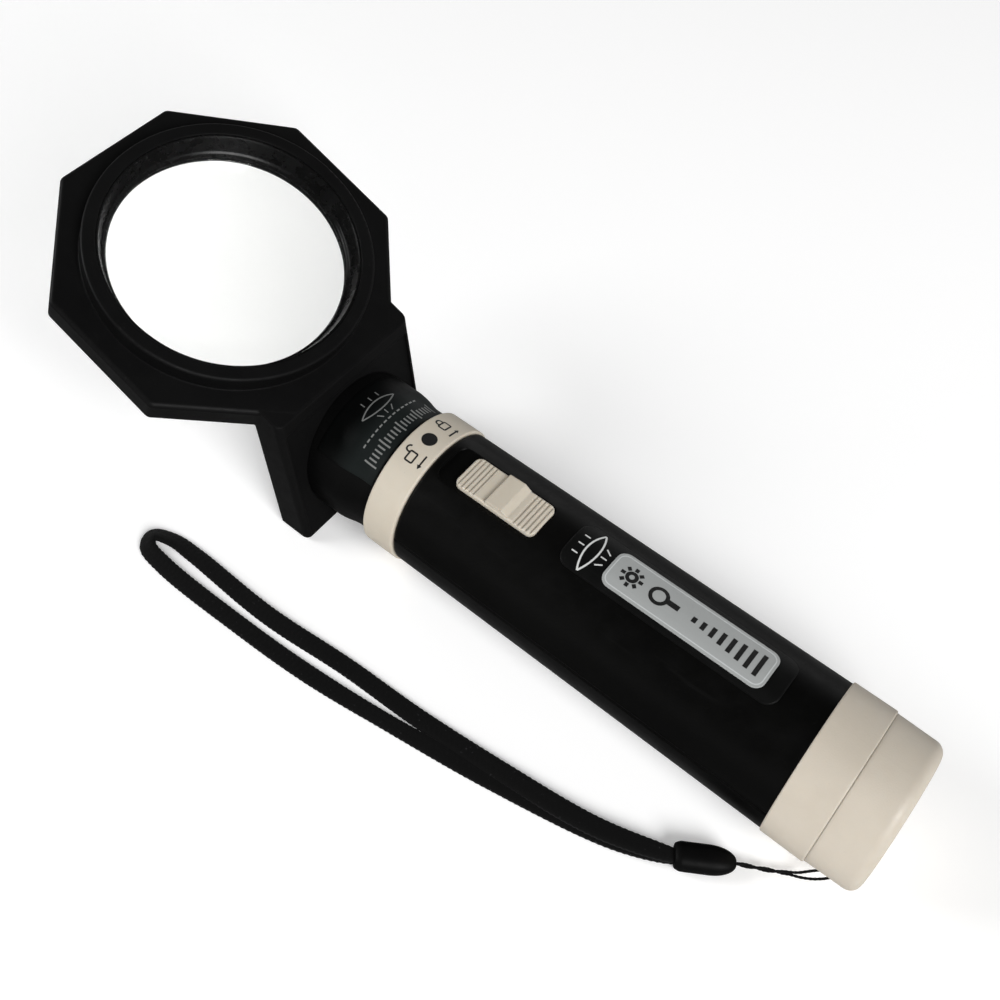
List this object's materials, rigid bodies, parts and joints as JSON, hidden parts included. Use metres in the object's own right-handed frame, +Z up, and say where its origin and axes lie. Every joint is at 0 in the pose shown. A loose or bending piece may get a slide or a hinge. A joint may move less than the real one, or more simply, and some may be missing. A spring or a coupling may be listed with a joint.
{
  "type": "illuminated low vision magnifier",
  "caption": "Torch-handled low vision magnifier: octagonal lens head on a bent neck, lock ring, slide switch, two-part tail cap and a wrist strap.",
  "frame": {"origin": "centre of the flat tail face, on the handle's axis", "axes": "+X along the handle and out of the tail, so the lens head lies towards -X; +Z up, the side with the slide switch and label"},
  "size_m": [0.1919, 0.08, 0.0616],
  "materials": {
    "head_black": "satin moulded",
    "nose_black": "satin moulded",
    "body_black": "semi-gloss moulded",
    "retainer_black": "gloss moulded",
    "ivory_ring": "satin moulded ivory",
    "ivory_switch": "satin moulded ivory",
    "ivory_cap": "satin moulded ivory",
    "lens_clear": "polished",
    "window_clear": "polished",
    "reflector_chrome": "vacuum metallised",
    "led_epoxy": "cast epoxy",
    "board_green": "solder mask",
    "clip_black": "moulded",
    "contact_brass": "stamped sheet",
    "spring_steel": "nickel plated wire",
    "cell_wrap": "printed wrap, no marks",
    "panel_black": "printed film",
    "label_silver": "brushed foil",
    "cord_black": "braided cord",
    "ferrule_black": "moulded",
    "strap_black": "flat braid"
  },
  "bodies": {
    "handle": {"head_frame": "head_black", "lens": "lens_clear", "lens_retainer": "retainer_black", "nose_barrel": "nose_black", "nose_label": "panel_black", "light_window": "window_clear", "reflector": "reflector_chrome", "led": "led_epoxy", "led_board": "board_green", "board_clip": "clip_black", "nose_spring": "spring_steel", "nose_contact": "contact_brass", "body_tube": "body_black", "front_strip": "contact_brass", "rear_strip": "contact_brass", "front_cell": "cell_wrap", "rear_cell": "cell_wrap", "tail_spring": "spring_steel", "tail_contact": "contact_brass", "tail_ring": "ivory_cap", "end_cap": "ivory_cap", "dark_panel": "panel_black", "silver_label": "label_silver", "cord_knot": "cord_black"},
    "lock_ring": {"lock_ring": "ivory_ring"},
    "switch": {"switch_slider": "ivory_switch", "switch_bridge": "contact_brass"},
    "cord": {"cord_loop": "cord_black", "strap_ferrule": "ferrule_black"},
    "strap": {"wrist_strap": "strap_black"}
  },
  "joints": [
    {"name": "lock_ring_turn", "type": "hinge", "parent": "handle", "child": "lock_ring", "pos_m": [-0.1056, 0, 0], "axis": [1, 0, 0], "range_deg": [0, 40]},
    {"name": "switch_slide", "type": "slide", "parent": "handle", "child": "switch", "axis": [-1, 0, 0], "range_m": [0, 0.004]},
    {"name": "cord_swing", "type": "hinge", "parent": "handle", "child": "cord", "pos_m": [-0.0041, -0.01009, -0.01255], "axis": [0, 0, 1], "range_deg": [-2, 120]},
    {"name": "strap_bend", "type": "hinge", "parent": "cord", "child": "strap", "pos_m": [-0.02907, -0.02603, -0.01315], "axis": [0, 0, 1], "range_deg": [-4, 60]}
  ]
}
